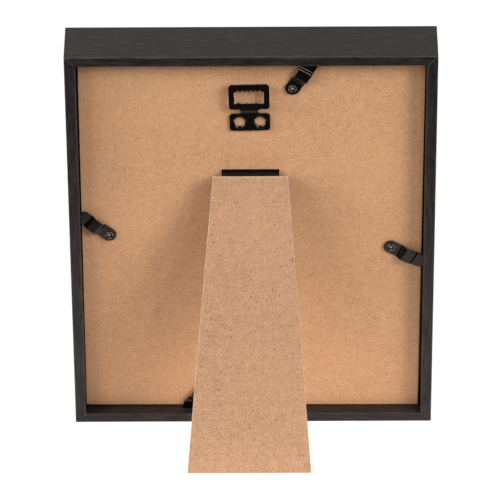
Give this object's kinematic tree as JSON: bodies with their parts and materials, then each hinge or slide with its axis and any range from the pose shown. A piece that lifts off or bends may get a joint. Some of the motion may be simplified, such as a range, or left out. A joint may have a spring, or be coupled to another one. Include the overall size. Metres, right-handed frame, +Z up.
{
  "type": "picture frame",
  "caption": "Rectangular tabletop photo frame with mitred rails, glass, a fibreboard back held by turn buttons, a sawtooth hanger and a folding easel leg.",
  "frame": {"origin": "on the floor, under the middle of the box that the standing frame fills", "axes": "+Z up; -Y towards the front, where the glass faces; +Y towards the back, where the leg stands; +X to the right as seen from the front"},
  "size_m": [0.22, 0.1118, 0.2706],
  "materials": {
    "rail_black": "soft charcoal coat with fine lengthwise streaks",
    "nail_steel": "plain",
    "clear_glass": "clear float glass",
    "insert_paper": "plain matt card",
    "fibreboard": "smooth tan hardboard with dark specks",
    "leg_fibreboard": "smooth tan hardboard with pale cut edges",
    "black_metal": "black satin coating"
  },
  "bodies": {
    "frame": {"rail_right": "rail_black", "rail_top": "rail_black", "rail_left": "rail_black", "rail_bottom": "rail_black", "v_nail_bottom_right": "nail_steel", "v_nail_top_right": "nail_steel", "v_nail_top_left": "nail_steel", "v_nail_bottom_left": "nail_steel", "glass_pane": "clear_glass", "photo_insert": "insert_paper", "backing_board": "fibreboard", "sawtooth_hanger": "black_metal", "rivet_top": "black_metal", "rivet_left": "black_metal", "rivet_bottom": "black_metal", "rivet_right": "black_metal", "hinge_board_leaf": "black_metal", "hinge_pin": "black_metal"},
    "stand": {"easel_leg": "leg_fibreboard", "hinge_stand_leaf": "black_metal"},
    "button_top": {"turn_button_top": "black_metal"},
    "button_left": {"turn_button_left": "black_metal"},
    "button_bottom": {"turn_button_bottom": "black_metal"},
    "button_right": {"turn_button_right": "black_metal"}
  },
  "joints": [
    {"name": "stand_hinge", "type": "hinge", "parent": "frame", "child": "stand", "pos_m": [0.0008, 0.01705, 0.17781], "axis": [-1, 0, 0], "range_deg": [0, 24.3]},
    {"name": "button_top_pivot", "type": "hinge", "parent": "frame", "child": "button_top", "pos_m": [-0.0244, 0.03003, 0.2381], "axis": [0, -0.9666, 0.2562], "range_deg": [-19.2, 148]},
    {"name": "button_left_pivot", "type": "hinge", "parent": "frame", "child": "button_left", "pos_m": [0.0864, 0.00283, 0.13549], "axis": [0, -0.9666, 0.2562], "range_deg": [-4, 138]},
    {"name": "button_bottom_pivot", "type": "hinge", "parent": "frame", "child": "button_bottom", "pos_m": [0.0268, -0.02626, 0.02573], "axis": [0, -0.9666, 0.2562], "range_deg": [-4.4, 142]},
    {"name": "button_right_pivot", "type": "hinge", "parent": "frame", "child": "button_right", "pos_m": [-0.0839, 0.00029, 0.12592], "axis": [0, -0.9666, 0.2562], "range_deg": [-5.7, 150]}
  ]
}
